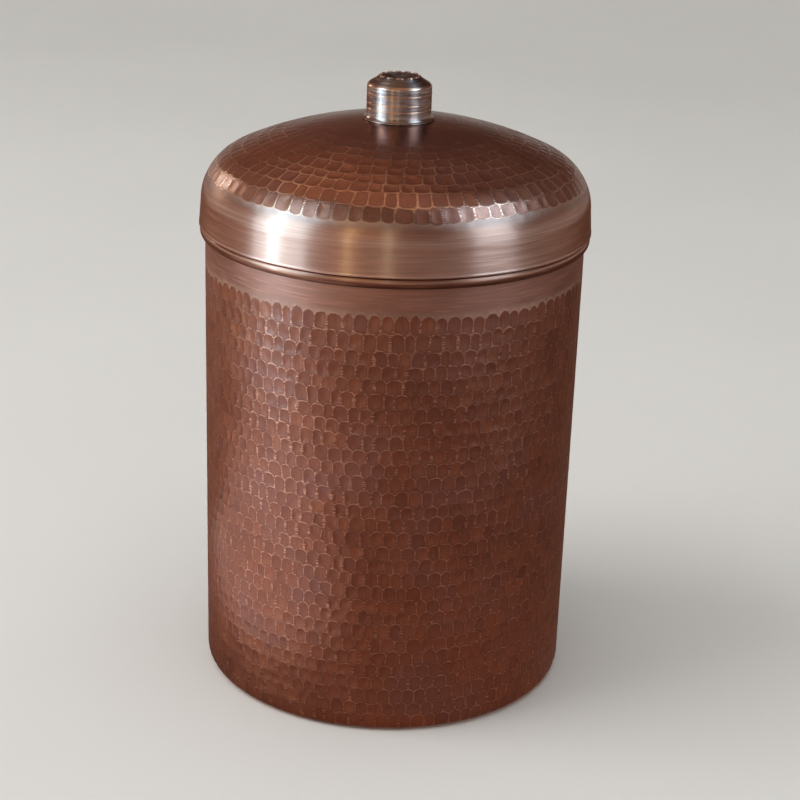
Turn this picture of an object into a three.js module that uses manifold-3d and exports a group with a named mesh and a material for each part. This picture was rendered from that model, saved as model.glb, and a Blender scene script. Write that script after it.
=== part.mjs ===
// A lidded water vessel of hand-hammered copper: a straight round wall with a turned-in foot,
// a bottom pan, a half-round stop bead, a wired mouth, and a lift-off domed lid with a turned knob.
// Millimetres, +Z up. The origin is the centre of the face that the vessel stands on.
import * as THREE from 'three';
import { mergeVertices } from 'three/addons/utils/BufferGeometryUtils.js';
import Module from 'manifold-3d';

// Driving dimensions
const SHEET = 1.0; // copper sheet of wall, pan and lid
const GAP = 0.3; // between pieces that are soldered, screwed or set on each other
const SIDES = 48; // facets round the vessel and its lid
const SMALL_SIDES = 24; // facets round the knob and its fixing

const WALL_RADIUS = 75.0; // outside of the wall at the bead and neck
const FOOT_RADIUS = 74.3; // the wall draws in slightly towards the foot
const FOOT_CORNER = 4.0; // outside radius between wall and foot
const FOOT_INNER = 62.0; // inner edge of the flange that the vessel stands on

const BEAD_BOTTOM = 182.1;
const BEAD_HEIGHT = 4.0;
const BEAD_PROUD = 1.7;

const CURL_RADIUS = 2.1; // outside of the roll round the mouth wire
const CURL_HEIGHT = 198.9; // centre of the roll
const WIRE_RADIUS = 0.8;

const PAN_RIM_TOP = 12.0; // top of the pan's upstand inside the wall
const PAN_RAISE = 2.7; // how far the pan's middle is pushed up
const PAN_FLAT_RADIUS = 48.0; // raised middle
const PAN_STEP_RADIUS = 58.0; // where the pan comes down to the flange

const SKIRT_EDGE_RADIUS = 77.4; // lid skirt at its lower edge
const SKIRT_RADIUS = 76.7; // lid skirt where the shoulder starts
const SHOULDER_HEIGHT = 196.0;
const SHOULDER_ROUND = 21.0;
const DOME_ROUND = 155.0;
const LID_HOLE = 2.6;

const KNOB_RADIUS = 12.6;
const KNOB_FOOT_RADIUS = 14.0;
const KNOB_FOOT_EDGE = 0.8; // thin upright edge of the flared foot
const KNOB_SHOULDER = 242.0; // where the chamfer starts
const KNOB_TOP = 245.5;
const KNOB_TOP_RADIUS = 9.0;
const KNOB_RINGS = [233.3, 235.7, 239.2]; // heights of the raised turning rings
const RING_PROUD = 0.2;
const RING_HALF_WIDTH = 0.35;
const KNOB_BORE = 2.3;
const KNOB_BORE_TOP = 240.5;

const WASHER_RADIUS = 6.5;
const WASHER_BORE = 2.4;
const WASHER_THICK = 1.0;
const SCREW_RADIUS = 2.0;
const SCREW_HEAD_RADIUS = 4.2;
const SCREW_HEAD_HEIGHT = 2.4;
const SLOT_WIDTH = 1.0;
const SLOT_DEPTH = 1.2;

// Worked out from the driving dimensions
const BEAD_TOP = BEAD_BOTTOM + BEAD_HEIGHT;
const SKIRT_EDGE = BEAD_TOP + GAP;
const SHOULDER_CENTRE = SKIRT_RADIUS - SHOULDER_ROUND;
const DOME_ANGLE = Math.asin(SHOULDER_CENTRE / (DOME_ROUND - SHOULDER_ROUND)); // shoulder meets dome
const DOME_CENTRE = SHOULDER_HEIGHT - (DOME_ROUND - SHOULDER_ROUND) * Math.cos(DOME_ANGLE);
const QUARTER = Math.PI / 2;

const COPPER_HAMMERED = { color: 0x7c4635, roughness: 0.35, metalness: 1.0 };
const COPPER_SMOOTH = { color: 0x9a5f49, roughness: 0.3, metalness: 1.0 };
const COPPER_TURNED = { color: 0x8d7672, roughness: 0.25, metalness: 1.0 };
const BRASS_FIXING = { color: 0xb08d4f, roughness: 0.3, metalness: 1.0 };

const wasm = await Module();
wasm.setup();

// Points on an arc in the (radius, height) plane, angles from the outward radial direction.
function arc(centreRadius, centreHeight, radius, from, to, steps) {
  return Array.from({ length: steps + 1 }, (_, i) => {
    const angle = from + ((to - from) * i) / steps;
    return [centreRadius + radius * Math.cos(angle), centreHeight + radius * Math.sin(angle)];
  });
}

// Turns a profile of (radius, height) points about the Z axis. The profile runs up the outside.
function turned(profile, sides, closed = true) {
  const points = profile.map(([radius, height]) => new THREE.Vector2(radius, height));
  if (closed) points.push(points[0].clone());
  return new THREE.LatheGeometry(points, sides).rotateX(QUARTER);
}

function piece(name, geometry, finish) {
  const mesh = new THREE.Mesh(geometry, new THREE.MeshStandardMaterial(finish));
  mesh.name = name;
  return mesh;
}

function toManifold(geometry) {
  const bare = geometry.clone();
  bare.deleteAttribute('normal');
  bare.deleteAttribute('uv');
  const merged = mergeVertices(bare, 1e-4);
  return new wasm.Manifold(
    new wasm.Mesh({
      numProp: 3,
      vertProperties: new Float32Array(merged.attributes.position.array),
      triVerts: new Uint32Array(merged.index.array),
    }),
  );
}

function fromManifold(solid) {
  const { vertProperties, triVerts } = solid.getMesh();
  const geometry = new THREE.BufferGeometry();
  geometry.setAttribute('position', new THREE.BufferAttribute(vertProperties, 3));
  geometry.setIndex(new THREE.BufferAttribute(triVerts, 1));
  return geometry;
}

// One raised sheet: flange, foot corner, wall and neck, with the mouth edge rolled inwards round a wire.
function bodyWall() {
  const cornerCentre = FOOT_RADIUS - FOOT_CORNER;
  const curlCentre = WALL_RADIUS - CURL_RADIUS;
  const curlTurn = 3 * QUARTER;
  return turned(
    [
      [FOOT_INNER, 0],
      ...arc(cornerCentre, FOOT_CORNER, FOOT_CORNER, -QUARTER, 0, 4),
      [WALL_RADIUS, BEAD_BOTTOM],
      ...arc(curlCentre, CURL_HEIGHT, CURL_RADIUS, 0, curlTurn, 7),
      ...arc(curlCentre, CURL_HEIGHT, CURL_RADIUS - SHEET, curlTurn, 0, 7),
      [WALL_RADIUS - SHEET, BEAD_BOTTOM],
      ...arc(cornerCentre, FOOT_CORNER, FOOT_CORNER - SHEET, 0, -QUARTER, 3),
      [FOOT_INNER, SHEET],
    ],
    SIDES,
  );
}

// The wire inside the rolled mouth edge.
function mouthWire() {
  const steps = 8;
  const circle = arc(WALL_RADIUS - CURL_RADIUS, CURL_HEIGHT, WIRE_RADIUS, 0, 4 * QUARTER, steps);
  return turned(circle.slice(0, steps), SIDES);
}

// Half-round ring soldered round the wall. The lid's skirt comes down on it.
function rimBead() {
  const inner = WALL_RADIUS + GAP;
  const halfHeight = BEAD_HEIGHT / 2;
  const round = arc(0, 0, 1, -QUARTER, QUARTER, 8).map(([out, up]) => [
    inner + BEAD_PROUD * out,
    BEAD_BOTTOM + halfHeight * (1 + up),
  ]);
  return turned(round, SIDES);
}

// Bottom pan, pushed up in the middle, lying on the flange with its upstand inside the wall.
function basePan() {
  const under = SHEET + GAP;
  const cornerCentre = FOOT_RADIUS - FOOT_CORNER;
  const cornerRound = FOOT_CORNER - SHEET - GAP;
  const rimOuter = cornerCentre + cornerRound;
  return turned(
    [
      [0, under + PAN_RAISE],
      [PAN_FLAT_RADIUS, under + PAN_RAISE],
      [PAN_STEP_RADIUS, under],
      ...arc(cornerCentre, FOOT_CORNER, cornerRound, -QUARTER, 0, 3),
      [rimOuter, PAN_RIM_TOP],
      [rimOuter - SHEET, PAN_RIM_TOP],
      ...arc(cornerCentre, FOOT_CORNER, cornerRound - SHEET, 0, -QUARTER, 3),
      [PAN_STEP_RADIUS, under + SHEET],
      [PAN_FLAT_RADIUS, under + PAN_RAISE + SHEET],
      [0, under + PAN_RAISE + SHEET],
    ],
    SIDES,
    false,
  );
}

// Skirt, rounded shoulder and shallow dome, spun from one sheet, with a hole for the knob's screw.
function lidShell() {
  const holeAngle = (round) => QUARTER - Math.asin(LID_HOLE / round);
  const inner = DOME_ROUND - SHEET;
  const shoulderEnd = QUARTER - DOME_ANGLE;
  const outside = [
    [SKIRT_EDGE_RADIUS, SKIRT_EDGE],
    ...arc(SHOULDER_CENTRE, SHOULDER_HEIGHT, SHOULDER_ROUND, 0, shoulderEnd, 7),
    ...arc(0, DOME_CENTRE, DOME_ROUND, shoulderEnd, holeAngle(DOME_ROUND), 6).slice(1),
  ];
  const inside = [
    ...arc(0, DOME_CENTRE, inner, holeAngle(inner), shoulderEnd, 6),
    ...arc(SHOULDER_CENTRE, SHOULDER_HEIGHT, SHOULDER_ROUND - SHEET, shoulderEnd, 0, 7).slice(1),
    [SKIRT_EDGE_RADIUS - SHEET, SKIRT_EDGE],
  ];
  return turned([...outside, ...inside], SIDES);
}

// Solid turned knob: hollowed foot that follows the dome, flare, three rings, chamfer, blind bore.
function knob() {
  const seat = DOME_ROUND + GAP;
  const seatAngle = (radius) => QUARTER - Math.asin(radius / seat);
  const underside = arc(0, DOME_CENTRE, seat, seatAngle(KNOB_BORE), seatAngle(KNOB_FOOT_RADIUS), 3);
  const footTop = underside[3][1] + KNOB_FOOT_EDGE;
  const flare = KNOB_FOOT_RADIUS - KNOB_RADIUS;
  const rings = KNOB_RINGS.flatMap((height) => [
    [KNOB_RADIUS, height - RING_HALF_WIDTH],
    [KNOB_RADIUS + RING_PROUD, height],
    [KNOB_RADIUS, height + RING_HALF_WIDTH],
  ]);
  return turned(
    [
      [0, KNOB_BORE_TOP],
      [KNOB_BORE, KNOB_BORE_TOP],
      ...underside,
      ...arc(KNOB_FOOT_RADIUS, footTop + flare, flare, -QUARTER, -2 * QUARTER, 3),
      ...rings,
      [KNOB_RADIUS, KNOB_SHOULDER],
      [KNOB_TOP_RADIUS, KNOB_TOP],
      [0, KNOB_TOP],
    ],
    SMALL_SIDES,
    false,
  );
}

// Height of the washer's upper face, under the lid.
function washerTop() {
  const inner = DOME_ROUND - SHEET;
  return DOME_CENTRE + Math.sqrt(inner ** 2 - WASHER_RADIUS ** 2) - GAP;
}

function knobWasher() {
  const top = washerTop();
  return turned(
    [
      [WASHER_BORE, top - WASHER_THICK],
      [WASHER_RADIUS, top - WASHER_THICK],
      [WASHER_RADIUS, top],
      [WASHER_BORE, top],
    ],
    SMALL_SIDES,
  );
}

// Slotted pan-head screw, put in from inside the lid.
function knobScrew() {
  const headTop = washerTop() - WASHER_THICK - GAP;
  const headBottom = headTop - SCREW_HEAD_HEIGHT;
  const headRound = SCREW_HEAD_HEIGHT / 2;
  const blank = turned(
    [
      [0, headBottom],
      ...arc(SCREW_HEAD_RADIUS - headRound, headBottom + headRound, headRound, -QUARTER, 0, 3),
      [SCREW_HEAD_RADIUS, headTop],
      [SCREW_RADIUS, headTop],
      [SCREW_RADIUS, KNOB_BORE_TOP - 2 * GAP],
      [0, KNOB_BORE_TOP - 2 * GAP],
    ],
    SMALL_SIDES,
    false,
  );
  const slot = new THREE.BoxGeometry(4 * SCREW_HEAD_RADIUS, SLOT_WIDTH, 2 * SLOT_DEPTH);
  slot.translate(0, 0, headBottom);
  return fromManifold(toManifold(blank).subtract(toManifold(slot)));
}

const vessel = new THREE.Group();
vessel.add(
  piece('body_wall', bodyWall(), COPPER_HAMMERED),
  piece('mouth_wire', mouthWire(), COPPER_SMOOTH),
  piece('rim_bead', rimBead(), COPPER_SMOOTH),
  piece('base_pan', basePan(), COPPER_SMOOTH),
);

const lid = new THREE.Group();
lid.add(
  piece('lid_shell', lidShell(), COPPER_HAMMERED),
  piece('knob', knob(), COPPER_TURNED),
  piece('knob_washer', knobWasher(), BRASS_FIXING),
  piece('knob_screw', knobScrew(), BRASS_FIXING),
);

const part = new THREE.Group();
part.add(vessel, lid);
export default part;
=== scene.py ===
import math
import random
from collections import namedtuple

import bmesh
import bpy
import numpy as np
from mathutils import Matrix, Vector


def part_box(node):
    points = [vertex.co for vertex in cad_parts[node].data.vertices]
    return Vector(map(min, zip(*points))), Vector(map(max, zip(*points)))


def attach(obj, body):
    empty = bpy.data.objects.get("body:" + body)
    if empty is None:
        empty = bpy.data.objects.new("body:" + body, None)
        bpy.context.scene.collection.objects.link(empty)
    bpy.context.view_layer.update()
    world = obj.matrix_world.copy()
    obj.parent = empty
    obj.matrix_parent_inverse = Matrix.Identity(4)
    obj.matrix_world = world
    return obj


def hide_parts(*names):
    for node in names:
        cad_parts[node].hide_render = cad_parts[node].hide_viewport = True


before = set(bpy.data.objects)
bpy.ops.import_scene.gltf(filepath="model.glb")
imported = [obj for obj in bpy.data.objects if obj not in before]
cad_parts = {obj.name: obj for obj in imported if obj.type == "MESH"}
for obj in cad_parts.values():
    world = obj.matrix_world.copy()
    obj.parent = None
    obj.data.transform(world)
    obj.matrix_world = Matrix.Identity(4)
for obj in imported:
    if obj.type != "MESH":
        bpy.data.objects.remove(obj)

MM = 0.001
QUARTER = math.pi / 2
TURN = 2 * math.pi
COLUMNS = 144  # columns of faces round plain spun surfaces
SMALLEST = 1e-7  # a spun point nearer the axis than this is one vertex on it
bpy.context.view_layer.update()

# Shapes that the frame's boxes don't give
SHEET = 1.0 * MM  # thickness of wall, pan and lid
FOOT_RADIUS = 74.3 * MM  # outside of the wall just above the foot's corner
FOOT_CORNER = 4.0 * MM  # radius of that corner
FOOT_BARE = 0.42  # share of that corner, from below, that has no marks
FOOT_INNER = 62.0 * MM  # inner edge of the flange that the foot is turned in to
CURL_RADIUS = 2.1 * MM  # the mouth's edge, rolled round its wire
SKIRT_TOP_RADIUS = 76.7 * MM
SHOULDER_HEIGHT = 196.0 * MM  # where the skirt ends and the shoulder begins
SHOULDER_ROUND = 21.0 * MM
SHOULDER_MARKS = 0.475  # angle on the shoulder where its marks start, radians
DOME_ROUND = 155.0 * MM
LID_HOLE = 2.6 * MM
KNOB_RADIUS = 12.6 * MM
KNOB_SHOULDER = 242.0 * MM  # height where the knob's sides end and its chamfer begins
KNOB_TOP_RADIUS = 8.3 * MM
KNOB_BORE = 2.3 * MM
KNOB_BORE_TOP = 240.5 * MM
KNOB_RINGS = (232.9 * MM, 235.3 * MM, 238.8 * MM)  # heights of the raised rings
KNOB_PUNCHES = 12  # crescents punched round the knob's top
PUNCH_SIZE = 1.25 * MM
PUNCH_LIP = 0.55 * MM  # height of a crescent's raised lip

# Hammer marks
MARKS_TOP = 170.8 * MM  # height of the wall's first row
WALL_LEAD = 4.0 * MM  # how far the wall's profile runs on above MARKS_TOP
PLAIN_BAND_FROM = 2.6 * MM  # how far above MARKS_TOP the plain band starts
LID_LEAD = 0.2  # how far the lid's profile runs on below SHOULDER_MARKS, radians
LID_BARE = 9.0 * MM  # sheet without marks round the lid's hole
FIRST_NOTCH = 1.2 * MM  # how far inside the marked band the notches of its first row lie
FADE_FROM = 22.0 * MM  # distance from the lid's hole within which its marks are faintest
FADE_LENGTH = 26.0 * MM  # the length beyond that over which they gain full strength
FADE_LEAST = 0.2  # strength of the faintest marks
ROW_PITCH = 5.6 * MM
TALL_ROWS = 1.13  # how much taller the first two rows are
DISH_DEPTH = 0.13 * MM
DISH_FLAT = 0.68  # share of a dish's half-width that its flatter floor takes
DISH_SLOPE = 0.85  # how deep that floor's edge is, as a share of the depth at the middle
DISH_MIDDLES = (0.45, 0.4, 0.35, 0.3, 0.25)  # how far down a mark its deepest point may lie
RIM_DEPTH = -0.012 * MM  # a dish's rim stands a little proud
SMALLEST_RIM = 0.4  # a rim keeps at least this share of the way from the middle to the ridge
ARC_STEPS = (0.0, 0.2, 0.5, 0.8)  # where the vertices of the arc over a mark lie, as shares of it
ARC_ROUND = 2.7  # the power of that arc, 2 for a parabola and more for a flatter one
# Marks: width of one; height of the arc over a mark and over one of the first row; land kept beside a
# narrow and a wide ridge; the power of the outline, 2 for oval marks and more for squarer ones; the share
# of ridges that are wide; how much marks differ in tone; and how far the rows wander
Marks = namedtuple("Marks", "width arch first_arch narrow wide corner wide_share tone_spread sway")
WALL_MARKS = Marks(4.95 * MM, 1.5 * MM, 2.3 * MM, 0.15 * MM, 0.85 * MM, 2.1, 0.3, 0.17, 0.32 * MM)
LID_MARKS = Marks(5.8 * MM, 0.8 * MM, 0.9 * MM, 0.22 * MM, 0.36 * MM, 2.8, 0.4, 0.12, 0.5 * MM)

TICK_PITCH = 0.68 * MM  # spacing of the fine lines that cross the lands

# Camera: a short telephoto looking down on the vessel, tilted a little to one side
CAMERA_PLACE = Vector((0.0, -0.7419, 0.3866))
CAMERA_YAW = 0.0056
CAMERA_PITCH = 0.3548
CAMERA_ROLL = 0.0331
CAMERA_VIEW = 0.40840  # horizontal angle of view, radians

BEAD_LOW, BEAD_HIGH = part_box("rim_bead")
WALL_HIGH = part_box("body_wall")[1]
PAN_LOW, PAN_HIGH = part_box("base_pan")
LID_LOW, LID_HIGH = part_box("lid_shell")
KNOB_LOW, KNOB_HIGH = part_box("knob")
WIRE_LOW, WIRE_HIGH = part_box("mouth_wire")
WALL_RADIUS = WALL_HIGH.x
CURL_CENTRE = WALL_RADIUS - CURL_RADIUS
CURL_HEIGHT = WALL_HIGH.z - CURL_RADIUS
SHOULDER_CENTRE = SKIRT_TOP_RADIUS - SHOULDER_ROUND
DOME_ANGLE = math.asin(SHOULDER_CENTRE / (DOME_ROUND - SHOULDER_ROUND))
DOME_CENTRE = SHOULDER_HEIGHT - (DOME_ROUND - SHOULDER_ROUND) * math.cos(DOME_ANGLE)


# ---------------------------------------------------------------------------------------- shapes
def arc(centre_radius, centre_height, radius, start, end, steps):
    """Points on an arc in the (radius, height) plane, angles from the outward radial direction."""
    angles = [start + (end - start) * i / steps for i in range(steps + 1)]
    return [(centre_radius + radius * math.cos(a), centre_height + radius * math.sin(a)) for a in angles]


def line(start, end, steps):
    """Points from start to end, both included."""
    return [tuple(a + (b - a) * i / steps for a, b in zip(start, end)) for i in range(steps + 1)]


class Profile:
    """A line of (radius, height) points, read by the length run along it."""

    def __init__(self, points, side):
        self.radius, self.height = np.array(points).T
        steps = np.hypot(np.diff(self.radius), np.diff(self.height))
        self.run = np.concatenate([[0.0], np.cumsum(steps)])
        self.length = float(self.run[-1])
        self.side = side  # 1 if the outside is on the left of the way that the line runs, else -1

    def at(self, run):
        return float(np.interp(run, self.run, self.radius)), float(np.interp(run, self.run, self.height))

    def sunk(self, run, depth):
        """The point at that run, sunk into the sheet by that depth."""
        step = 0.3 * MM
        (r0, z0), (r1, z1) = self.at(max(run - step, 0)), self.at(min(run + step, self.length))
        size = math.hypot(r1 - r0, z1 - z0)
        radius, height = self.at(run)
        out_r, out_z = -self.side * (z1 - z0) / size, self.side * (r1 - r0) / size
        return radius - depth * out_r, height - depth * out_z


class Sheet:
    """The vertices and faces of one mesh, with what its materials read at each vertex:
    land (1 on a ridge, 0.5 at a dish's rim, 0 in the dish), tone, strength (painted shade on spun
    pieces), wear (also painted highlights) and turning."""

    def __init__(self):
        self.points, self.faces, self.slots, self.marks, self.turning = [], [], [], [], []
        self.place = []

    def point(self, angle, radius, height, run, land=0.0, tone=0.5, strength=0.0, wear_and_highlight=0.0):
        self.points.append((radius * math.cos(angle), radius * math.sin(angle), height))
        self.marks.append((land, tone, strength, wear_and_highlight))
        self.turning.append(run)
        self.place.append((angle, run))
        return len(self.points) - 1

    def face(self, corners, slot):
        self.faces.append(corners)
        self.slots.append(slot)

    def ring(self, radius, height, run, columns, wear_and_highlight, painted_shade):
        """A level ring of vertices, as (angle, vertex) pairs."""
        angles = [TURN * i / columns for i in range(columns)]
        return [(a, self.point(a, radius, height, run, strength=painted_shade, wear_and_highlight=wear_and_highlight)) for a in angles]

    def strip(self, first, second, slot):
        """Quads between two rings with the same angles."""
        for i in range(len(first)):
            j = (i + 1) % len(first)
            self.face((first[i][1], first[j][1], second[j][1], second[i][1]), slot)

    def stitch(self, first, second, slot):
        """Triangles between two rings with different angles, each sorted by angle."""
        start = first[0][0]
        a = sorted(((angle - start) % TURN, v) for angle, v in first)
        b = sorted(((angle - start) % TURN, v) for angle, v in second)
        a.append((TURN, a[0][1]))
        b.append((b[0][0] + TURN, b[0][1]))
        i = j = 0
        while i < len(a) - 1 or j < len(b) - 1:
            if j == len(b) - 1 or (i < len(a) - 1 and a[i + 1][0] <= b[j + 1][0]):
                self.face((a[i][1], a[i + 1][1], b[j][1]), slot)
                i += 1
            else:
                self.face((a[i][1], b[j + 1][1], b[j][1]), slot)
                j += 1

    def spin(self, profile, slot, first=None, last=None, columns=COLUMNS):
        """Spins (radius, height[, wear and painted highlight[, painted shade]]) points; first and last
        are rings to join on to.
        """
        rings, run, before = [], 0.0, None
        for point in profile:
            radius, height, wear_and_highlight, painted_shade = (*point, 0.0, 0.0)[:4]
            if before:
                run += math.hypot(radius - before[0], height - before[1])
            before = (radius, height)
            if radius < SMALLEST:
                rings.append([(0.0, self.point(0.0, 0.0, height, run, strength=painted_shade, wear_and_highlight=wear_and_highlight))])
            else:
                rings.append(self.ring(radius, height, run, columns, wear_and_highlight, painted_shade))
        if first:
            self.stitch(first, rings[0], slot)
        for a, b in zip(rings, rings[1:]):
            if len(a) == 1 or len(b) == 1:
                tip, rim = (a[0][1], b) if len(a) == 1 else (b[0][1], a)
                for i in range(len(rim)):
                    self.face((rim[i][1], rim[(i + 1) % len(rim)][1], tip), slot)
            else:
                self.strip(a, b, slot)
        if last:
            self.stitch(rings[-1], last, slot)
        return rings

    def build(self, name, materials, sharp=None):
        mesh = bpy.data.meshes.new(name)
        mesh.from_pydata(self.points, [], self.faces)
        for material in materials:
            mesh.materials.append(material)
        mesh.polygons.foreach_set("material_index", self.slots)
        marks = mesh.attributes.new("hammer", "FLOAT_COLOR", "POINT")
        marks.data.foreach_set("color", np.array(self.marks, np.float32).ravel())
        turning = mesh.attributes.new("turning", "FLOAT", "POINT")
        turning.data.foreach_set("value", np.array(self.turning, np.float32))
        work = bmesh.new()
        work.from_mesh(mesh)
        bmesh.ops.recalc_face_normals(work, faces=work.faces)
        work.to_mesh(mesh)
        work.free()
        mesh.shade_smooth()
        if sharp:
            mesh.set_sharp_from_angle(angle=sharp)
        piece = bpy.data.objects.new(name, mesh)
        bpy.context.scene.collection.objects.link(piece)
        return piece


# ---------------------------------------------------------------------------------- hammer marks
class Row:
    """The edge that a row of marks starts at: one arc over each mark, with a notch between two."""

    def __init__(self, rng, run, shift, arch, sway, count):
        self.run, self.count = run, count
        step = TURN / count
        self.notches = [(i + shift + rng.uniform(-0.14, 0.14)) * step for i in range(count)]
        self.dips = [rng.uniform(-sway, sway) for _ in range(count)]
        self.arches = [arch * rng.uniform(0.6, 1.2) for _ in range(count)]
        self.phase = rng.uniform(0, TURN)
        self.sway = sway

    def notch(self, i):
        return self.notches[i % self.count] + TURN * (i // self.count)

    def edge(self, i, t):
        """Angle and run at share t of mark i's arc."""
        j = (i + 1) % self.count
        angle = self.notch(i) + t * (self.notch(i + 1) - self.notch(i))
        level = self.dips[i % self.count] * (1 - t) + self.dips[j] * t
        drift = self.sway * math.sin(3 * angle + self.phase)
        bulge = self.arches[i % self.count] * (1 - abs(2 * t - 1) ** ARC_ROUND)
        return angle, self.run + level + drift - bulge

    def share(self, angle):
        """The mark and the share of its arc that an angle falls on."""
        turned = (angle - self.notches[0]) % TURN + self.notches[0]
        i = next((n for n in range(self.count) if turned < self.notch(n + 1)), self.count - 1)
        return i, (turned - self.notch(i)) / (self.notch(i + 1) - self.notch(i))


def lay_edge(sheet, profile, row, hits, strength, land=1.0):
    """Vertices along a row's edge. Returns the ring, and where in it each notch and each hit is."""
    marks = [(i + t, i, t) for i in range(row.count) for t in ARC_STEPS]
    keys = {key: None for key, _, _ in marks}
    found = []
    for angle in hits:
        i, t = row.share(angle)
        found.append((i + min(ARC_STEPS + (1.0,), key=lambda s: abs(s - t))) % row.count)
    ring = []
    for key in sorted(keys):
        i = int(key)
        angle, run = row.edge(i, key - i)
        radius, height = profile.sunk(run, 0.0)
        vertex = sheet.point(angle, radius, height, run, land, strength=strength, wear_and_highlight=0.9)
        keys[key] = len(ring)
        ring.append((angle, vertex))
    return ring, [keys[float(i)] for i in range(row.count)], [keys[key] for key in found]


def part_of(ring, start, end):
    """The vertices of a closed ring from one place to another, both included."""
    if end < start:
        end += len(ring)
    return [ring[i % len(ring)][1] for i in range(start, end + 1)]


def dish(sheet, profile, rng, marks, corners, lands, rim_highlight, slot, strength):
    """Fills one mark: a flat land inside its ridges, a rim, and a shallow dish."""
    spots = [sheet.place[v] for v in corners]
    base = spots[0][0]
    angles = [(a - base + math.pi) % TURN - math.pi for a, _ in spots]
    runs = [run for _, run in spots]
    mid_angle = (min(angles) + max(angles)) / 2
    for middle in DISH_MIDDLES:
        mid_run = min(runs) + (max(runs) - min(runs)) * middle
        radius = profile.at(mid_run)[0]
        flat = [((a - mid_angle) * radius, run - mid_run) for a, run in zip(angles, runs)]
        if all(x1 * y2 < x2 * y1 for (x1, y1), (x2, y2) in zip(flat, flat[1:] + flat[:1])):
            break  # each corner can be seen from the middle
    half_x = max(abs(x) for x, _ in flat) * 1.02
    up, down = -min(y for _, y in flat), max(y for _, y in flat)
    depth = DISH_DEPTH * rng.uniform(0.65, 1.35) * strength
    tilt_x, tilt_y = rng.gauss(0, 0.02) * strength, rng.gauss(0, 0.02) * strength
    tone = min(max(rng.gauss(0.5, marks.tone_spread), 0), 1)

    def vertex(x, y, sink, land, bright):
        run = mid_run + y
        r, z = profile.sunk(run, sink)
        return sheet.point(base + mid_angle + x / radius, r, z, run, land, tone, strength, bright)

    rim, bowl = [], []
    # Each rim vertex carries its share of the painted rim highlight in its wear channel
    for (x, y), land, bright in zip(flat, lands, rim_highlight):
        reach = math.hypot(x, y)
        oval = abs(x / half_x) ** marks.corner + abs(y / (up if y < 0 else down)) ** marks.corner
        kept = min(reach - land, reach * oval ** (-1 / marks.corner))
        share = max(kept / reach, SMALLEST_RIM)
        rim.append(vertex(x * share, y * share, RIM_DEPTH * strength, 0.5, bright))
        x2, y2 = x * share * DISH_FLAT, y * share * DISH_FLAT
        bowl.append(vertex(x2, y2, depth * DISH_SLOPE + tilt_x * x2 + tilt_y * y2, 0.0, bright))
    centre = vertex(0.0, 0.0, depth, 0.0, 0.5)
    n = len(corners)
    for i in range(n):
        j = (i + 1) % n
        sheet.face((corners[i], corners[j], rim[j], rim[i]), slot)
        sheet.face((rim[i], rim[j], bowl[j], bowl[i]), slot)
        sheet.face((bowl[i], bowl[j], centre), slot)


def lay_rows(profile, rng, marks, start, end):
    """The edges of all rows of marks between two runs of a profile."""
    wanted = round((end - start) / ROW_PITCH)
    pitch = (end - start) / (wanted + 2 * (TALL_ROWS - 1))
    rows, shift = [], 0.0
    for k in range(wanted + 1):
        run = start + (k + min(k, 2) * (TALL_ROWS - 1)) * pitch
        middle = profile.at(min(run + pitch / 2, profile.length))[0]
        count = max(8, round(TURN * middle / marks.width))
        shift = (shift + rng.uniform(0.3, 0.7)) % 1.0
        last = k == wanted
        arch = 0.0 if last else (marks.first_arch if k == 0 else marks.arch)
        rows.append(Row(rng, run, shift, arch, 0.0 if last else marks.sway, count))
    return rows


def side_ridges(sheet, profile, rng, marks, row, ring, notches, low_ring, hits, strength):
    """The middle vertex of the ridge on each mark's left, and the land kept beside it."""
    sides, lands = [], []
    for i in range(row.count):
        top, foot = sheet.place[ring[notches[i]][1]], sheet.place[low_ring[hits[i]][1]]
        gap = (foot[0] - top[0] + math.pi) % TURN - math.pi
        run = (top[1] + foot[1]) / 2
        angle = top[0] + gap / 2 + rng.uniform(-0.02, 0.02) * TURN / row.count
        sides.append(sheet.point(angle, *profile.at(run), run, 1.0, strength=strength, wear_and_highlight=0.7))
        wide = rng.random() < marks.wide_share
        lands.append(marks.wide * rng.uniform(0.6, 1.1) if wide else marks.narrow)
    return sides, lands


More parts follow.
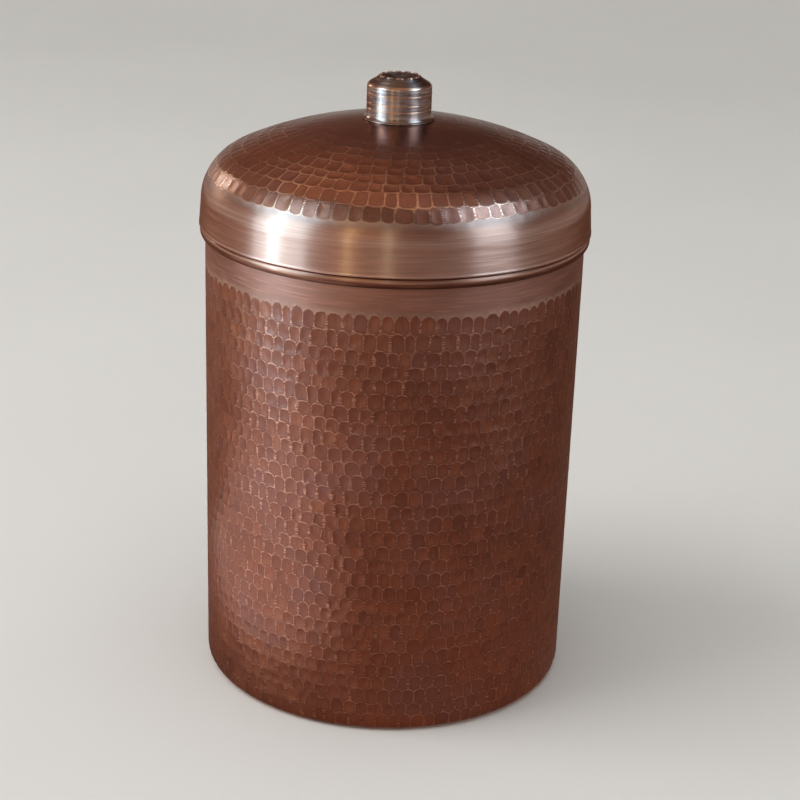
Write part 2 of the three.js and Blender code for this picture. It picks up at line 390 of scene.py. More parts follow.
def hammer(sheet, profile, rng, marks, start, end, slot, fade=lambda run: 1.0):
    """Covers a band of the profile with rows of marks. Returns its first and last ring."""
    rows = lay_rows(profile, rng, marks, start, end)
    ring, notches, _ = lay_edge(sheet, profile, rows[0], [], fade(start))
    first = ring
    for row, below in zip(rows, rows[1:]):
        leans = [row.notch(i) + rng.uniform(-0.08, 0.08) * TURN / row.count for i in range(row.count)]
        strength = fade((row.run + below.run) / 2)
        land = 0.56 if below is rows[-1] else 1.0  # the last edge, at the foot, gets the bright rim colour all round: a painted highlight
        low_ring, low_notches, hits = lay_edge(sheet, profile, below, leans, fade(below.run), land)
        sides, side_lands = side_ridges(
            sheet, profile, rng, marks, row, ring, notches, low_ring, hits, strength
        )
        for i in range(row.count):
            j = (i + 1) % row.count
            lower = part_of(low_ring, hits[i], hits[j])
            upper = part_of(ring, notches[i], notches[j])
            corners = [*lower, sides[j], *reversed(upper), sides[i]]
            top_land = marks.narrow * rng.uniform(0.7, 1.4)
            low_land = marks.narrow * rng.uniform(0.7, 1.3)
            lands = [low_land] * len(lower) + [side_lands[j]] + [top_land] * len(upper) + [side_lands[i]]
            # Painted highlight: each mark's right rim is brightest, its left dimmest and its top and
            # bottom in between, as light from the left catches them; wide ridges are dimmed
            left, top, right = rng.uniform(0.0, 0.6), rng.uniform(0.2, 1.0), rng.uniform(0.5, 1.0)
            left, right = left * strength, right * strength
            if side_lands[j] > 1.5 * marks.narrow:
                right *= 0.35
            if side_lands[i] > 1.5 * marks.narrow:
                left *= 0.35
            rim_highlight = [0.6 * top] * len(lower) + [right] * 2 + [top] * (len(upper) - 2) + [left] * 2
            dish(sheet, profile, rng, marks, corners, lands, rim_highlight, slot, strength)
        ring, notches = low_ring, low_notches
    return first, ring


# ------------------------------------------------------------------------------------- materials
class Paint:
    """A material's nodes, with a short call for each kind that is used here."""

    def __init__(self, name):
        self.material = bpy.data.materials.new(name)
        self.material.use_nodes = True
        self.tree = self.material.node_tree
        self.shader = self.tree.nodes["Principled BSDF"]
        self.coords = self.node("ShaderNodeTexCoord").outputs["Object"]
        marks = self.node("ShaderNodeAttribute")
        marks.attribute_name = "hammer"
        split = self.node("ShaderNodeSeparateColor")
        self.join(marks.outputs["Color"], split.inputs[0])
        self.land, self.tone, self.strength = split.outputs
        self.wear_and_highlight = marks.outputs["Alpha"]
        turning = self.node("ShaderNodeAttribute")
        turning.attribute_name = "turning"
        self.turning = turning.outputs["Fac"]

    def node(self, kind):
        return self.tree.nodes.new(kind)

    def join(self, source, target):
        if isinstance(source, (int, float, tuple)):
            target.default_value = source
        else:
            self.tree.links.new(source, target)

    def math(self, operation, a, b=0.0, c=0.0):
        node = self.node("ShaderNodeMath")
        node.operation = operation
        for value, socket in zip((a, b, c), node.inputs):
            self.join(value, socket)
        return node.outputs[0]

    def ramp(self, value, low, high, to_low=0.0, to_high=1.0):
        """Smooth step of a value from low..high to to_low..to_high."""
        node = self.node("ShaderNodeMapRange")
        node.interpolation_type = "SMOOTHSTEP"
        for source, socket in zip((value, low, high, to_low, to_high), node.inputs):
            self.join(source, socket)
        return node.outputs[0]

    def mix(self, factor, a, b):
        node = self.node("ShaderNodeMix")
        node.data_type = "RGBA"
        self.join(factor, node.inputs[0])
        self.join(a, node.inputs[6])
        self.join(b, node.inputs[7])
        return node.outputs[2]

    def noise(self, scale, detail=2.0, stretch=None):
        """Three-dimensional noise; scale is features per metre, stretch scales each axis."""
        node = self.node("ShaderNodeTexNoise")
        node.inputs["Scale"].default_value = scale
        node.inputs["Detail"].default_value = detail
        vector = self.coords
        if stretch:
            mapping = self.node("ShaderNodeMapping")
            mapping.inputs["Scale"].default_value = stretch
            self.join(vector, mapping.inputs["Vector"])
            vector = mapping.outputs[0]
        self.join(vector, node.inputs["Vector"])
        return node.outputs["Fac"]

    def lines(self, per_metre, around=4.0, detail=2.0):
        """Noise drawn out round the axis: the lines that a lathe leaves. around is how often
        a line changes on its way round, per radian."""
        level = self.node("ShaderNodeVectorMath")
        level.operation = "MULTIPLY"
        self.join(self.coords, level.inputs[0])
        level.inputs[1].default_value = (1.0, 1.0, 0.0)
        outward = self.node("ShaderNodeVectorMath")
        outward.operation = "NORMALIZE"
        self.join(level.outputs[0], outward.inputs[0])
        spread = self.node("ShaderNodeVectorMath")
        spread.operation = "SCALE"
        spread.inputs["Scale"].default_value = around
        self.join(outward.outputs[0], spread.inputs[0])
        along = self.node("ShaderNodeCombineXYZ")
        self.join(self.math("MULTIPLY", self.turning, per_metre), along.inputs["Z"])
        place = self.node("ShaderNodeVectorMath")
        place.operation = "ADD"
        self.join(spread.outputs[0], place.inputs[0])
        self.join(along.outputs[0], place.inputs[1])
        node = self.node("ShaderNodeTexNoise")
        node.inputs["Detail"].default_value = detail
        node.inputs["Scale"].default_value = 1.0
        self.join(place.outputs[0], node.inputs["Vector"])
        return node.outputs["Fac"]

    def bump(self, height, distance, strength=1.0):
        node = self.node("ShaderNodeBump")
        node.inputs["Distance"].default_value = distance
        self.join(strength, node.inputs["Strength"])
        self.join(height, node.inputs["Height"])
        before = self.shader.inputs["Normal"]
        if before.links:
            self.join(before.links[0].from_socket, node.inputs["Normal"])
        self.join(node.outputs[0], before)

    def set(self, **values):
        for name, value in values.items():
            self.join(value, self.shader.inputs[name.replace("_", " ")])


# Ridge colours: partly polished copper, partly painted highlight
RIDGE_COPPER = (0.78, 0.42, 0.28, 1.0)
BRIGHT_COPPER = (0.98, 0.58, 0.37, 1.0)
LAND_DULL = (0.26, 0.09, 0.055, 1.0)
LAND_COPPER = (0.70, 0.36, 0.24, 1.0)
DARK_PATINA = (0.27, 0.08, 0.042, 1.0)
WARM_PATINA = (0.47, 0.155, 0.07, 1.0)
VIOLET_PATINA = (0.33, 0.125, 0.095, 1.0)
# painted shade for the dish walls just inside the rims
PAINTED_RIM_SHADE = (0.14, 0.05, 0.035, 1.0)
GREYED_PATINA = (0.36, 0.165, 0.135, 1.0)
SKIRT_WORN = (0.87, 0.6, 0.5, 1.0)
KNOB_WORN = (1.0, 0.6, 0.4, 1.0)
BRASS_WORN = (0.8, 0.62, 0.3, 1.0)
OXIDE_IOR = 1.8  # the thin skin of oxide and wax over the copper
EDGE_ON = (0.5, 0.36, 0.3, 1.0)  # how much of its shine copper keeps when seen nearly edge on


def hammered_copper(name, ridge, whole_ridge, mottle, coat, roughest):
    """Patinated dishes between bright ridges. whole_ridge brightens ridges all over, not only along
    the rims of the dishes; mottle is how much the patina varies over a hand's breadth; coat is the
    oxide skin's weight, and roughest the roughness of marks at full strength."""
    paint = Paint(name)
    broad = paint.noise(9.0, 3.0)
    cloud = paint.noise(38.0, 3.0)
    patch = paint.noise(170.0, 2.0)
    grain = paint.noise(1300.0, 2.0, (1.0, 1.0, 0.2))

    # Patina: a tone for each dish, mottled over larger patches; painted shade darkens each dish just
    # inside its rim
    shade = paint.math("MULTIPLY_ADD", paint.tone, 0.24, paint.math("MULTIPLY", broad, mottle))
    shade = paint.math("MULTIPLY_ADD", grain, 0.3, shade)
    middle = 0.27 + mottle / 2
    patina = paint.mix(paint.ramp(shade, middle - 0.16, middle + 0.16), DARK_PATINA, WARM_PATINA)
    patina = paint.mix(paint.ramp(cloud, 0.46, 0.7, 0.0, 0.75), patina, VIOLET_PATINA)
    # Painted shade: the dish walls just inside the rims are darkened, more in some patches
    rim_shade = paint.ramp(paint.land, 0.05, 0.3)
    rim_shade = paint.math("MULTIPLY", rim_shade, paint.ramp(paint.land, 0.34, 0.42, 1.0, 0.0))
    rim_shade = paint.math("MULTIPLY", rim_shade, paint.ramp(patch, 0.35, 0.6, 0.1, 0.45))
    patina = paint.mix(rim_shade, patina, PAINTED_RIM_SHADE)
    greyed = paint.ramp(paint.strength, 0.3, 1.0, 0.75, 0.0)  # where the marks fade out
    patina = paint.mix(greyed, patina, GREYED_PATINA)

    # Lands between dishes, crossed by fine lines
    fine = paint.lines(2600.0, 7.0, 1.0)
    lathe = paint.lines(1500.0, 9.0, 1.0)
    phase = paint.math("MULTIPLY", paint.turning, TURN / TICK_PITCH)
    phase = paint.math("MULTIPLY_ADD", patch, 9.0, phase)
    waves = paint.math("MULTIPLY_ADD", paint.math("SINE", phase), 0.11, lathe)
    land = paint.mix(paint.ramp(waves, 0.47, 0.57), LAND_DULL, LAND_COPPER)
    fresh = paint.ramp(paint.strength, 0.1, 1.0, 0.0, 1.0)
    on_land = paint.math("MULTIPLY", paint.ramp(paint.land, 0.46, 0.56), fresh)

    # Bright line along the rims, partly polished copper and partly painted highlight, rubbed away in
    # patches and fainter towards the foot
    line = paint.ramp(paint.land, 0.38, 0.46)
    if not whole_ridge:
        line = paint.math("MULTIPLY", line, paint.ramp(paint.land, 0.62, 0.78, 1.0, 0.0))
    rubbed = paint.ramp(broad, 0.36, 0.6, 0.3, 1.0)
    rubbed = paint.math("MULTIPLY", rubbed, paint.ramp(cloud, 0.38, 0.6, 0.25, 1.0))
    shown = paint.ramp(paint.math("MULTIPLY_ADD", fresh, 0.4, patch), 0.45, 0.7)
    place = paint.node("ShaderNodeSeparateXYZ")
    paint.join(paint.coords, place.inputs[0])
    fade_to_foot = paint.ramp(place.outputs["Z"], 0.02, 0.14, 0.5, 1.0)
    for mask in (paint.ramp(paint.wear_and_highlight, 0.0, 0.9), rubbed, shown, fade_to_foot):
        line = paint.math("MULTIPLY", line, mask)

    rough = paint.ramp(paint.strength, 0.15, 0.9, 0.26, roughest)
    rough = paint.math("ADD", paint.ramp(cloud, 0.3, 0.7, -0.04, 0.04), rough)
    paint.set(
        Base_Color=paint.mix(line, paint.mix(on_land, patina, land), ridge),
        Metallic=1.0,
        Roughness=paint.math("MULTIPLY_ADD", on_land, -0.14, rough),
        Specular_Tint=EDGE_ON,
        Coat_Weight=coat,
        Coat_Roughness=0.3,
        Coat_IOR=OXIDE_IOR,
    )
    paint.bump(grain, 0.014 * MM)
    paint.bump(fine, 0.012 * MM)
    paint.bump(waves, 0.06 * MM, paint.math("MULTIPLY_ADD", on_land, 0.9, 0.1))
    return paint.material


# Spun or turned copper: its colour and that of worn edges and painted highlights; roughness and its
# anisotropy; the height of the lathe's lines in millimetres; how much darker some lines are; how often a
# line changes on its way round, per radian; and the oxide skin's weight and roughness
Spun = namedtuple("Spun", "colour worn roughness anisotropy relief streaks around coat coat_roughness")


def spun_copper(name, spun):
    """Plain sheet, wire or turned metal with the fine lines of the lathe."""
    paint = Paint(name)
    cloud = paint.noise(30.0, 3.0)
    fine = paint.lines(2400.0, spun.around, 2.0)
    middling = paint.lines(1250.0, spun.around, 1.0)
    coarse = paint.lines(600.0, spun.around / 2)
    tint = paint.math("MULTIPLY_ADD", coarse, 0.15, paint.math("MULTIPLY", cloud, 0.15))
    tint = paint.math("MULTIPLY_ADD", fine, 0.35, tint)
    tint = paint.math("MULTIPLY_ADD", middling, 0.35, tint)
    dull = tuple((1 - spun.streaks) * c for c in spun.colour[:3]) + (1.0,)
    base = paint.mix(paint.ramp(tint, 0.43, 0.57), dull, spun.colour)
    # Worn edges and scratches take the worn colour, and so do the painted highlights on the bead's top
    # and the wall's foot
    bright = paint.math("MULTIPLY", paint.wear_and_highlight, paint.ramp(cloud, 0.3, 0.6, 0.6, 1.0))
    scratch = paint.ramp(paint.math("MULTIPLY", fine, middling), 0.32, 0.4, 0.0, 0.3)
    bright = paint.math("MAXIMUM", bright, scratch)
    # Painted shade: where the strength channel is set, under the bead and over the knob's chamfer and
    # top, the colour darkens to 0.3 of itself
    shaded_colour = tuple(0.3 * c for c in spun.colour[:3]) + (1.0,)
    base = paint.mix(paint.strength, base, shaded_colour)
    rough = paint.ramp(tint, 0.4, 0.6, spun.roughness, spun.roughness + 0.08)
    paint.set(
        Base_Color=paint.mix(bright, base, spun.worn),
        Metallic=1.0,
        Specular_Tint=EDGE_ON,
        Roughness=paint.math("MULTIPLY_ADD", paint.strength, 0.2, rough),
        Anisotropic=spun.anisotropy,
        Anisotropic_Rotation=0.25,
        Coat_Weight=spun.coat,
        Coat_Roughness=spun.coat_roughness,
        Coat_IOR=OXIDE_IOR,
    )
    if spun.anisotropy:
        tangent = paint.node("ShaderNodeTangent")
        tangent.direction_type = "RADIAL"
        tangent.axis = "Z"
        paint.join(tangent.outputs[0], paint.shader.inputs["Tangent"])
    paint.bump(fine, spun.relief * MM)
    paint.bump(middling, spun.relief * 1.5 * MM)
    paint.bump(coarse, spun.relief * MM, 0.5)
    return paint.material


def pale(name, colour):
    paint = Paint(name)
    grain = paint.ramp(paint.noise(3.0), 0.3, 0.7)
    darker = tuple(0.97 * c for c in colour[:3]) + (1.0,)
    paint.set(Base_Color=paint.mix(grain, darker, colour), Roughness=1.0, Specular_IOR_Level=0.0)
    return paint.material


HAMMERED_WALL = hammered_copper(
    "hammered_wall_copper", RIDGE_COPPER, whole_ridge=False, mottle=0.5, coat=0.8, roughest=0.54
)
HAMMERED_DOME = hammered_copper(
    "hammered_dome_copper", BRIGHT_COPPER, whole_ridge=True, mottle=1.0, coat=0.8, roughest=0.42
)
SPUN_INSIDE = spun_copper(
    "inside_copper",
    Spun((0.66, 0.36, 0.25, 1.0), RIDGE_COPPER, 0.34, 0.5, 0.01, 0.2, 5.0, 0.35, 0.15),
)
SPUN_WALL = spun_copper(
    "spun_wall",
    Spun((0.5, 0.215, 0.14, 1.0), RIDGE_COPPER, 0.52, 0.4, 0.012, 0.2, 5.0, 0.8, 0.36),
)
SPUN_SKIRT = spun_copper(
    "spun_skirt",
    Spun((0.67, 0.38, 0.285, 1.0), SKIRT_WORN, 0.3, 0.85, 0.006, 0.18, 3.2, 0.35, 0.15),
)
SPUN_BEAD = spun_copper(
    "drawn_bead",
    Spun((0.38, 0.165, 0.105, 1.0), RIDGE_COPPER, 0.3, 0.3, 0.006, 0.2, 5.0, 0.5, 0.15),
)
TURNED_KNOB = spun_copper(
    "turned_copper",
    Spun((0.52, 0.385, 0.345, 1.0), KNOB_WORN, 0.27, 0.75, 0.02, 0.5, 1.6, 0.35, 0.15),
)
TURNED_BRASS = spun_copper(
    "brass_fixing",
    Spun((0.62, 0.42, 0.17, 1.0), BRASS_WORN, 0.25, 0.0, 0.01, 0.2, 5.0, 0.35, 0.15),
)


# ---------------------------------------------------------------------------------------- pieces
def finish_piece(piece, body, node):
    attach(piece, body)
    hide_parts(node)


def body_wall():
    """Hammered wall, plain band and neck, mouth rolled round its wire, foot turned in to a flange."""
    corner = FOOT_RADIUS - FOOT_CORNER
    outer = [(WALL_RADIUS, MARKS_TOP + WALL_LEAD), (WALL_RADIUS, MARKS_TOP)]
    outer += line((WALL_RADIUS, MARKS_TOP), (FOOT_RADIUS, FOOT_CORNER), 60)[1:]
    outer += arc(corner, FOOT_CORNER, FOOT_CORNER, 0, -QUARTER, 24)[1:]
    profile = Profile(outer, 1)
    sheet = Sheet()
    start = WALL_LEAD + FIRST_NOTCH
    end = profile.length - FOOT_BARE * FOOT_CORNER * QUARTER
    top, foot = hammer(sheet, profile, random.Random(11), WALL_MARKS, start, end, 0)
    band_low = (WALL_RADIUS, MARKS_TOP + PLAIN_BAND_FROM)
    plain = line(band_low, (WALL_RADIUS, BEAD_LOW.z - 0.4 * MM), 4)
    plain += line((WALL_RADIUS, BEAD_LOW.z), (WALL_RADIUS, CURL_HEIGHT), 5)
    plain += arc(CURL_CENTRE, CURL_HEIGHT, CURL_RADIUS, 0, 3 * QUARTER, 18)[1:]
    plain += arc(CURL_CENTRE, CURL_HEIGHT, CURL_RADIUS - SHEET, 3 * QUARTER, 0, 14)
    inner_foot = FOOT_RADIUS - SHEET
    plain += line((WALL_RADIUS - SHEET, CURL_HEIGHT), (inner_foot, FOOT_CORNER), 8)[1:]
    plain += arc(corner, FOOT_CORNER, FOOT_CORNER - SHEET, 0, -QUARTER, 5)[1:]
    plain += [(FOOT_INNER + 0.4 * MM, SHEET), (FOOT_INNER, SHEET - 0.4 * MM), (FOOT_INNER, 0.4 * MM, 0.5)]
    plain += [(FOOT_INNER + 0.4 * MM, 0.0, 0.8), (corner, 0.0, 1.0)]
    # Painted highlight: the foot's outer corner takes the worn colour, for the light it catches from the
    # floor
    foot_corner = arc(corner, FOOT_CORNER, FOOT_CORNER, -QUARTER, -0.66 * QUARTER, 5)[1:]
    plain += [(r, z, 0.9) for r, z in foot_corner]
    sheet.spin(plain, 1, first=top, last=foot)
    piece = sheet.build("hammered_wall", [HAMMERED_WALL, SPUN_WALL], sharp=math.radians(60))
    finish_piece(piece, "vessel", "body_wall")


def rim_bead():
    """Half-round bead round the wall, with a painted highlight along its upper side and painted shade
    below.
    """
    inner = WALL_RADIUS + 0.06 * MM
    high = LID_LOW.z - 0.08 * MM  # the lid's edge all but rests on it
    middle, half = (BEAD_LOW.z + high) / 2, (high - BEAD_LOW.z) / 2
    proud = BEAD_HIGH.x - inner
    section = []
    for c, s in arc(0, 0, 1, -QUARTER, QUARTER, 20):
        bulge = max(c, 0.0) ** (0.55 if s > 0 else 0.9)
        # Painted highlight peaks halfway up the upper side; painted shade darkens the underside
        wear_and_highlight, painted_shade = max(0.0, 0.5 - 2 * abs(s - 0.5)), min(max(-0.1 - s, 0.0) * 2, 0.9)
        section.append((inner + proud * bulge, middle + half * s, wear_and_highlight, painted_shade))
    section.append(section[0])
    sheet = Sheet()
    sheet.spin(section, 0, columns=192)
    weld(sheet, 192)
    piece = sheet.build("stop_bead", [SPUN_BEAD], sharp=math.radians(50))
    finish_piece(piece, "vessel", "rim_bead")


def weld(sheet, columns):
    """Joins the last ring of a closed section to its first."""
    count = len(sheet.points)
    renamed = {count - columns + i: i for i in range(columns)}
    sheet.faces = [tuple(renamed.get(v, v) for v in face) for face in sheet.faces]
    for values in (sheet.points, sheet.marks, sheet.turning, sheet.place):
        del values[count - columns :]


def mouth_wire():
    """The wire inside the rolled mouth."""
    radius = (WIRE_HIGH.z - WIRE_LOW.z) / 2
    section = arc(CURL_CENTRE, CURL_HEIGHT, radius, 0, TURN, 12)
    sheet = Sheet()
    sheet.spin(section, 0, columns=96)
    weld(sheet, 96)
    piece = sheet.build("mouth_wire_round", [SPUN_INSIDE])
    finish_piece(piece, "vessel", "mouth_wire")


def base_pan():
    """Spun bottom pan, pushed up in the middle, with an upstand inside the wall."""
    under, rim = PAN_LOW.z, PAN_HIGH.x
    corner = FOOT_RADIUS - FOOT_CORNER
    turn = rim - corner
    raised = 2.7 * MM
    low = [(0.0, under + raised)] + line((6 * MM, under + raised), (46 * MM, under + raised), 8)
    low += [(48.5 * MM, under + raised - 0.15 * MM), (57.5 * MM, under + 0.15 * MM), (60 * MM, under)]
    side = arc(corner, FOOT_CORNER, turn, -QUARTER, 0, 6)
    side += [(rim, PAN_HIGH.z - 0.4 * MM), (rim - 0.5 * SHEET, PAN_HIGH.z, 0.6)]
    side += [(rim - SHEET, PAN_HIGH.z - 0.4 * MM)]
    back = arc(corner, FOOT_CORNER, turn - SHEET, 0, -QUARTER, 6)
    high = [(r, z + SHEET) for r, z in reversed(low)]
    sheet = Sheet()
    sheet.spin(low + side + back + high, 0)
    piece = sheet.build("spun_base_pan", [SPUN_INSIDE], sharp=math.radians(50))
    finish_piece(piece, "vessel", "base_pan")


def lid_shell():
    """Hammered dome, plain rounded shoulder and skirt, spun from one sheet."""
    shoulder_end = QUARTER - DOME_ANGLE
    hole = QUARTER - math.asin(LID_HOLE / DOME_ROUND)
    profile_from = SHOULDER_MARKS - LID_LEAD
    outside = arc(SHOULDER_CENTRE, SHOULDER_HEIGHT, SHOULDER_ROUND, profile_from, shoulder_end, 40)
    outside += arc(0, DOME_CENTRE, DOME_ROUND, shoulder_end, hole, 90)[1:]
    profile = Profile(outside, -1)
    start = LID_LEAD * SHOULDER_ROUND + FIRST_NOTCH
    end = profile.length - LID_BARE

    def fade(run):
        """The marks grow shallow and dull towards the knob."""
        return min(max((profile.length - run - FADE_FROM) / FADE_LENGTH, FADE_LEAST), 1.0)

    sheet = Sheet()
    first, last = hammer(sheet, profile, random.Random(5), LID_MARKS, start, end, 0, fade)
    edge_z, edge_r = LID_LOW.z, LID_HIGH.x
    top = arc(0, DOME_CENTRE, DOME_ROUND, QUARTER - math.asin(9.5 * MM / DOME_ROUND), hole, 4)
    inner_dome = DOME_ROUND - SHEET
    inside_hole = QUARTER - math.asin(LID_HOLE / inner_dome)
    under = arc(0, DOME_CENTRE, inner_dome, inside_hole, shoulder_end, 14)
    under += arc(SHOULDER_CENTRE, SHOULDER_HEIGHT, SHOULDER_ROUND - SHEET, shoulder_end, 0, 14)[1:]
    under += line((SKIRT_TOP_RADIUS - SHEET, SHOULDER_HEIGHT), (edge_r - SHEET, edge_z + 0.5 * MM), 4)[1:]
    lip = [(edge_r - 0.8 * MM, edge_z + 0.1 * MM, 0.7), (edge_r - 0.5 * MM, edge_z, 1.0)]
    lip += [(edge_r - 0.2 * MM, edge_z + 0.05 * MM, 1.0), (edge_r, edge_z + 0.3 * MM, 1.0)]
    lip += [(edge_r, edge_z + 0.8 * MM, 0.8), (edge_r - 0.12 * MM, edge_z + 1.1 * MM, 0.1)]
    skirt = line((edge_r - 0.13 * MM, edge_z + 1.5 * MM), (SKIRT_TOP_RADIUS, SHOULDER_HEIGHT), 8)
    bright_lines = (0.152, 0.25)  # two thin ones round the shoulder
    for angle in (0.05, 0.1, 0.14, 0.152, 0.164, 0.2, 0.24, 0.25, 0.26, 0.3, SHOULDER_MARKS - 0.12):
        worn = 0.5 if angle in bright_lines else 0.0
        place = arc(SHOULDER_CENTRE, SHOULDER_HEIGHT, SHOULDER_ROUND, angle, angle, 1)[0]
        skirt.append((*place, worn))
    sheet.spin(top + under, 1, first=last)
    inside_ring = [(TURN * i / COLUMNS, len(sheet.points) - COLUMNS + i) for i in range(COLUMNS)]
    sheet.spin(lip + skirt, 2, first=inside_ring, last=first)
    piece = sheet.build("hammered_lid", [HAMMERED_DOME, SPUN_INSIDE, SPUN_SKIRT], sharp=math.radians(60))
    finish_piece(piece, "lid", "lid_shell")


def punched(x, y):
    """How much of a crescent's raised lip is at a place on the knob's top, 0 to 1."""
    most, ring_radius = 0.0, KNOB_TOP_RADIUS - 1.65 * MM
    for i in range(KNOB_PUNCHES):
        angle = TURN * (i + 0.2 * math.sin(7 * i)) / KNOB_PUNCHES
        out_x, out_y = math.cos(angle), math.sin(angle)
        dx, dy = x - ring_radius * out_x, y - ring_radius * out_y
        reach = math.hypot(dx, dy)
        facing = (dx * out_x + dy * out_y) / max(reach, 1e-9)
        lip = math.exp(-(((reach - PUNCH_SIZE) / (0.23 * PUNCH_SIZE)) ** 2))
        most = max(most, lip * min(max((facing + 0.1) / 0.5, 0.0), 1.0))
    return most


def knob():
    """Solid turned knob: flared foot, three raised rings, a chamfer and a punched top."""
    foot, low, top = KNOB_HIGH.x, KNOB_LOW.z, KNOB_HIGH.z - PUNCH_LIP
    section = [(0.0, KNOB_BORE_TOP), (KNOB_BORE, KNOB_BORE_TOP), (KNOB_BORE, low + 0.7 * MM)]
    section += [(foot * 0.5, low + 0.5 * MM)]
    section += [(foot - 0.2 * MM, low - 0.2 * MM), (foot, low - 0.1 * MM)]
    flare = foot - KNOB_RADIUS
    for i in range(9):
        a = -QUARTER - QUARTER * i / 8
        section.append((foot + flare * math.cos(a), low + (2.7 + 2.45 * math.sin(a)) * MM, 0.1))
    for height in KNOB_RINGS:
        ring = arc(0, 0, 1, -QUARTER, QUARTER, 4)
        section.append((KNOB_RADIUS, height - 0.42 * MM))
        section += [(KNOB_RADIUS + 0.16 * MM * c, height + 0.22 * MM * s, 0.8) for c, s in ring]
        section.append((KNOB_RADIUS, height + 0.42 * MM))

    # Worn edge, then the chamfer and the top darkened with painted shade, with crescents round a shallow
    # recess
    section += [
        (KNOB_RADIUS, KNOB_SHOULDER - 0.6 * MM),
        (KNOB_RADIUS - 0.03 * MM, KNOB_SHOULDER - 0.25 * MM, 0.9),
        (KNOB_RADIUS - 0.25 * MM, KNOB_SHOULDER + 0.05 * MM, 1.0),
        (KNOB_RADIUS - 0.55 * MM, KNOB_SHOULDER + 0.35 * MM, 0.5),
    ]
    chamfer_from = (KNOB_RADIUS - 0.9 * MM, KNOB_SHOULDER + 0.7 * MM)
    chamfer = line(chamfer_from, (KNOB_TOP_RADIUS + 0.35 * MM, top - 0.4 * MM), 4)
    section += [(r, z, 0.0, 0.6) for r, z in chamfer]
    section += [(KNOB_TOP_RADIUS + 0.12 * MM, top - 0.18 * MM, 0.0, 0.7)]
    section += [(KNOB_TOP_RADIUS - 0.2 * MM, top, 0.0, 0.8)]
    punched_ring = line((KNOB_TOP_RADIUS - 0.4 * MM, top), (5.2 * MM, top), 14)
    recess = line((4.6 * MM, top - 0.5 * MM), (0.0, top - 0.9 * MM), 5)
    section += [(r, z, 0.0, 1.0) for r, z in punched_ring + recess]
    sheet = Sheet()
    sheet.spin(section, 0, columns=216)
    for i, (x, y, z) in enumerate(sheet.points):
        if z > top - 0.45 * MM:
            lip = punched(x, y)
            sheet.points[i] = (x, y, z + PUNCH_LIP * lip)
            # The crescents' lips lose most of the painted shade and take the worn colour
            land, tone, painted_shade, wear_and_highlight = sheet.marks[i]
            sheet.marks[i] = (land, tone, painted_shade * (1 - 0.9 * lip), max(wear_and_highlight, lip))
    piece = sheet.build("turned_knob", [TURNED_KNOB], sharp=math.radians(55))
    finish_piece(piece, "lid", "knob")


def fixings():
    """The washer and screw keep their CAD shapes."""
    for node in ("knob_washer", "knob_screw"):
        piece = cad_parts[node]
        piece.data.materials.clear()
        piece.data.materials.append(TURNED_BRASS)


# ----------------------------------------------------------------------------------------- stage
SURROUND_LEFT = (0.27, 0.14, 0.1, 1.0)
SURROUND_RIGHT = (0.13, 0.065, 0.046, 1.0)
SURROUND_HIGH = (0.1, 0.062, 0.052, 1.0)
COOL, WARM, DEEP_WARM = (0.47, 0.79, 1.0), (1.0, 0.64, 0.4), (1.0, 0.6, 0.34)
FLOOR_LEVEL = -0.0002  # a hair below the face that the vessel stands on


def stage():
    """A pale floor that curves up all round into a backdrop."""
    reach, curve, wall = 2.6, 1.2, 3.4
    section = [(0.0, FLOOR_LEVEL)] + line((0.2, FLOOR_LEVEL), (reach - curve, FLOOR_LEVEL), 6)
    section += arc(reach - curve, curve + FLOOR_LEVEL, curve, -QUARTER, 0, 16)[1:]
    section += [(reach, wall)]
    sheet = Sheet()
    sheet.spin(section, 0, columns=96)
    floor = sheet.build("floor", [pale("pale_floor", (0.82, 0.81, 0.79, 1.0))])


def dim_surround():
    """A dim warm shell that only gloss picks up, as dark cards round polished metal in a studio."""
    reach, above_floor = 2.45, 0.0003
    section = [(0.0, above_floor), (reach - 0.05, above_floor)]
    section += arc(0, 0.0, reach, 0.01, QUARTER - 0.01, 24) + [(0.0, reach)]
    glow = bpy.data.materials.new("dim_surround")
    glow.use_nodes = True
    nodes, links = glow.node_tree.nodes, glow.node_tree.links
    nodes.clear()
    emission = nodes.new("ShaderNodeEmission")
    place, parts = nodes.new("ShaderNodeTexCoord"), nodes.new("ShaderNodeSeparateXYZ")
    links.new(place.outputs["Object"], parts.inputs[0])

    def blend(axis, start, end, first, second):
        """Blends two colours along an axis."""
        along, shade = nodes.new("ShaderNodeMapRange"), nodes.new("ShaderNodeMix")
        along.inputs["From Min"].default_value = start
        along.inputs["From Max"].default_value = end
        shade.data_type = "RGBA"
        links.new(parts.outputs[axis], along.inputs["Value"])
        links.new(along.outputs["Result"], shade.inputs[0])
        for colour, socket in ((first, shade.inputs[6]), (second, shade.inputs[7])):
            if isinstance(colour, tuple):
                socket.default_value = colour
            else:
                links.new(colour, socket)
        return shade.outputs[2]

    sides = blend("X", -0.4, 0.4, SURROUND_LEFT, SURROUND_RIGHT)
    links.new(blend("Z", 0.7, 2.3, sides, SURROUND_HIGH), emission.inputs["Color"])
    links.new(emission.outputs[0], nodes.new("ShaderNodeOutputMaterial").inputs["Surface"])
    glow.cycles.emission_sampling = "NONE"
    sheet = Sheet()
    sheet.spin(section, 0, columns=64)
    shell = sheet.build("dim_surround", [glow])
    shell.visible_camera = shell.visible_diffuse = shell.visible_shadow = False
    shell.visible_transmission = shell.visible_volume_scatter = False


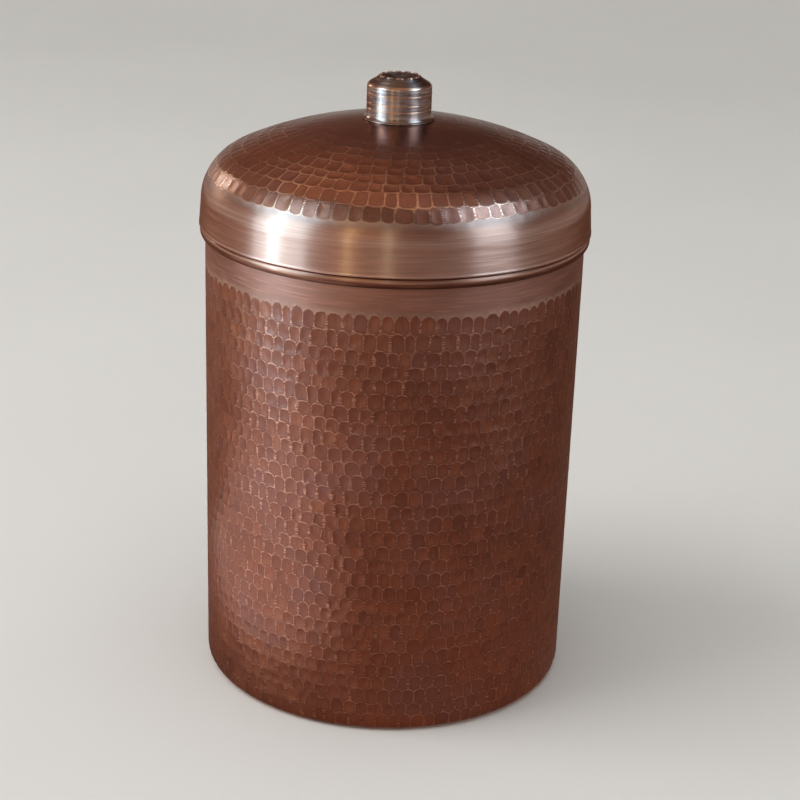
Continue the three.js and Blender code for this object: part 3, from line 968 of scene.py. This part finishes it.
def area_light(name, azimuth, distance, height, width, tall, power, colour, aim_height):
    """An area light facing the vessel. Azimuth is in degrees from the front, positive to the right."""
    lamp = bpy.data.lights.new(name, "AREA")
    lamp.shape, lamp.size, lamp.size_y = "RECTANGLE", width, tall
    lamp.energy, lamp.color = power, colour
    light = bpy.data.objects.new(name, lamp)
    bpy.context.scene.collection.objects.link(light)
    a = math.radians(azimuth)
    light.location = (distance * math.sin(a), -distance * math.cos(a), height)
    aim = Vector((0.0, 0.0, aim_height)) - light.location
    light.rotation_euler = aim.to_track_quat("-Z", "Y").to_euler()
    light.visible_camera = False
    return light


def lights():
    """Large soft lights for floor and backdrop, and smaller ones that only gloss picks up."""
    # Name, azimuth, distance, height, width, how tall, watts, colour, and the height aimed at
    large = [
        area_light("window", -78, 1.6, 1.9, 1.5, 1.5, 24, (1.0, 0.98, 0.95), 0.12),
        area_light("top_soft", 0, 0.2, 2.1, 2.0, 2.0, 16, (1.0, 1.0, 1.0), 0.12),
    ]
    for light in large:
        light.visible_glossy = False
    reflected = [
        area_light("window_bar", -68.5, 0.6, 0.51, 0.033, 1.0, 1.2, COOL, 0.51),
        area_light("window_glow", -66, 0.7, 0.5, 0.44, 0.9, 3.5, COOL, 0.5),
        area_light("right_strip", 56, 0.6, 0.65, 0.26, 1.02, 1.45, (0.56, 0.8, 1.0), 0.65),
        area_light("right_high", 74, 0.6, 0.8, 0.32, 0.36, 2.1, (0.45, 0.76, 1.0), 0.2),
        area_light("front_glow", -22, 1.2, 0.55, 0.8, 0.4, 0.2, DEEP_WARM, 0.2),
        area_light("gold_band", -25, 0.7, 0.5, 0.03, 0.9, 0.17, (1.0, 0.96, 0.5), 0.5),
        area_light("pale_band", -3.5, 0.7, 0.5, 0.025, 0.9, 0.115, (0.82, 1.0, 0.77), 0.5),
        area_light("warm_overhead", -130, 0.2, 1.5, 0.9, 1.7, 2.1, WARM, 0.2),
        area_light("far_left", -130, 1.0, 0.5, 0.11, 0.11, 0.62, (0.9, 1.0, 0.95), 0.2),
        area_light("floor_glow", -68, 0.36, 0.004, 0.28, 0.5, 0.26, (1.0, 0.86, 0.82), 1.0),
    ]
    for light in reflected:
        light.visible_diffuse = False
    reflected[-1].rotation_euler = (math.pi, 0.0, math.radians(-68))  # it lies on the floor, facing up

    world = bpy.data.worlds.new("studio")
    bpy.context.scene.world = world
    world.use_nodes = True
    background = world.node_tree.nodes["Background"]
    background.inputs["Color"].default_value = (1.0, 1.0, 1.0, 1.0)
    background.inputs["Strength"].default_value = 0.2


def camera():
    lens = bpy.data.cameras.new("camera")
    lens.sensor_width = 36.0
    lens.angle = CAMERA_VIEW
    lens.clip_start, lens.clip_end = 0.01, 50.0
    eye = bpy.data.objects.new("camera", lens)
    bpy.context.scene.collection.objects.link(eye)
    right = Vector((math.cos(CAMERA_YAW), -math.sin(CAMERA_YAW), 0.0))
    level = Vector((math.sin(CAMERA_YAW), math.cos(CAMERA_YAW), 0.0))
    ahead = level * math.cos(CAMERA_PITCH) - Vector((0, 0, 1)) * math.sin(CAMERA_PITCH)
    up = right.cross(ahead)
    rolled_right = right * math.cos(CAMERA_ROLL) + up * math.sin(CAMERA_ROLL)
    rolled_up = up * math.cos(CAMERA_ROLL) - right * math.sin(CAMERA_ROLL)
    turn = Matrix((rolled_right, rolled_up, -ahead)).transposed()
    eye.matrix_world = Matrix.Translation(CAMERA_PLACE) @ turn.to_4x4()
    bpy.context.scene.camera = eye


camera()
body_wall()
rim_bead()
mouth_wire()
base_pan()
lid_shell()
knob()
fixings()
stage()
dim_surround()
lights()
bpy.context.scene.view_settings.view_transform = "Standard"
